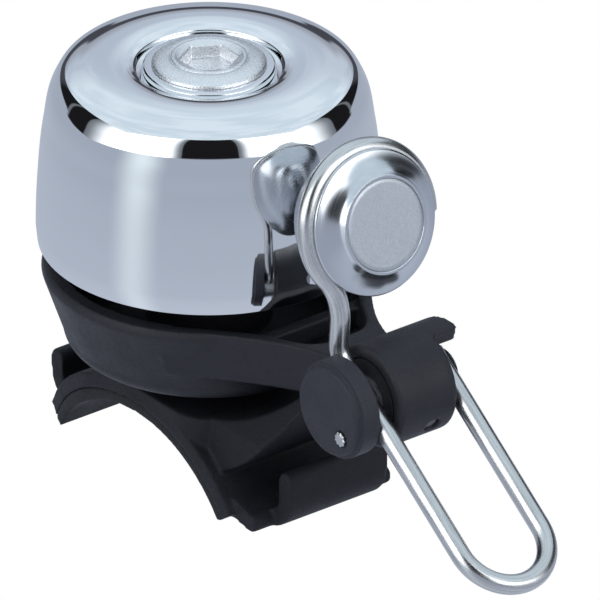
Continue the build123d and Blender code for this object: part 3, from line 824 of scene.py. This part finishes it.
def floor():
    """Pale floor well under the bell; it lights nothing and is seen by the camera alone."""
    mat = bpy.data.materials.new("pale_floor")
    mat.use_nodes = True
    tree = mat.node_tree
    tree.nodes.clear()
    emission = tree.nodes.new("ShaderNodeEmission")
    emission.inputs["Color"].default_value = (1.0, 1.0, 1.0, 1.0)
    output = tree.nodes.new("ShaderNodeOutputMaterial")
    tree.links.new(emission.outputs[0], output.inputs["Surface"])
    mesh = bpy.data.meshes.new("pale_floor")
    half, level = 3.0, -0.08
    mesh.from_pydata([(-half, -half, level), (half, -half, level), (half, half, level), (-half, half, level)],
                     [], [(0, 1, 2, 3)])
    obj = new_object("pale_floor", mesh, mat)
    obj.visible_diffuse = False
    obj.visible_glossy = False
    obj.visible_transmission = False
    obj.visible_shadow = False


def studio():
    """A light tent: pale floor and walls, an overhead panel, two soft boxes and a dark gap between."""
    world = bpy.data.worlds.new("studio")
    bpy.context.scene.world = world
    world.use_nodes = True
    tree = world.node_tree
    tree.nodes.clear()
    coords = tree.nodes.new("ShaderNodeTexCoord")
    direction = coords.outputs["Generated"]

    def along(axis):
        node = tree.nodes.new("ShaderNodeVectorMath")
        node.operation = "DOT_PRODUCT"
        tree.links.new(direction, node.inputs[0])
        node.inputs[1].default_value = axis
        return Num(tree, node.outputs["Value"])

    front = Vector((math.sin(VIEW_AZIMUTH), -math.cos(VIEW_AZIMUTH), 0))
    right = Vector((math.cos(VIEW_AZIMUTH), math.sin(VIEW_AZIMUTH), 0))
    b, r, z = along(front), along(right), along((0, 0, 1))
    over = z.math("ARCTAN2", b) * (180 / math.pi)
    around = r.math("ARCTAN2", b) * (180 / math.pi)

    colour = mixed(tree, z.rise(-0.75, -0.1), FLOOR_NEAR_LIGHT, FLOOR_LIGHT)
    streak_at = z.line(-0.5, 0.0, 53.0, 46.0)
    streak = (around + streak_at).abs().rise(20.0, 0.0) * z.rise(-0.5, 0.05, 0.5, 1.0)
    colour = mixed(tree, streak, colour, STREAK_LIGHT)

    # dark gap overhead, closed by a dark wall behind, with a soft box on each side of its front
    gap_low = b.rise(-0.90, -0.98, 0.0, 0.12)
    gap = over.rise(17.5, 20.0) * (z - gap_low).rise(-0.01, 0.02)
    turn = (around - TENT_TURN).abs()
    dark = mixed(tree, turn.rise(138.0, 148.0), GAP_BLACK, BACK_DARK)
    rim_light = (turn - RIM_LIGHT_AT).abs().rise(2.5, 0.5)
    dark = mixed(tree, rim_light, dark, RIM_LIGHT)
    glow = turn.rise(21.0, 36.0) * turn.rise(97.0, 60.0)
    soft_box = mixed(tree, glow, BOX_EDGE_LIGHT, BOX_LIGHT)
    box_mask = turn.rise(20.0, 21.0) * turn.rise(98.0, 96.5)
    dark = mixed(tree, box_mask, dark, soft_box)
    colour = mixed(tree, gap, colour, dark)

    # overhead panel, greyer towards its far end behind the bell
    side = r.abs()
    panel_mask = over.rise(59.0, 61.0) * over.rise(166.0, 163.5) * (z * PANEL_SLOPE - side).rise(0.0, 0.03)
    cloud = noise(tree, direction, 5.0, 3.0)
    near = mixed(tree, cloud.rise(0.4, 0.62), (0.62, 0.73, 0.82), (0.72, 0.83, 0.92))
    far = mixed(tree, cloud.rise(0.4, 0.62), (0.46, 0.53, 0.63), (0.54, 0.61, 0.71))
    panel = mixed(tree, over.rise(142.0, 154.0), near, far)
    panel = mixed(tree, over.rise(156.0, 163.0), panel, PANEL_END_LIGHT)
    colour = mixed(tree, panel_mask, colour, panel)

    seen = tree.nodes.new("ShaderNodeLightPath")
    colour = mixed(tree, Num(tree, seen.outputs["Is Camera Ray"]), colour, (1.0, 1.0, 1.0))
    background = tree.nodes.new("ShaderNodeBackground")
    tree.links.new(colour.socket, background.inputs["Color"])
    output = tree.nodes.new("ShaderNodeOutputWorld")
    tree.links.new(background.outputs[0], output.inputs["Surface"])

    bpy.context.scene.view_settings.view_transform = "Standard"


camera()
bell_dome()
dome_washer()
dome_screw()
mouldings()
wire_lever()
striker()
pins()
carried_over()
floor()
studio()
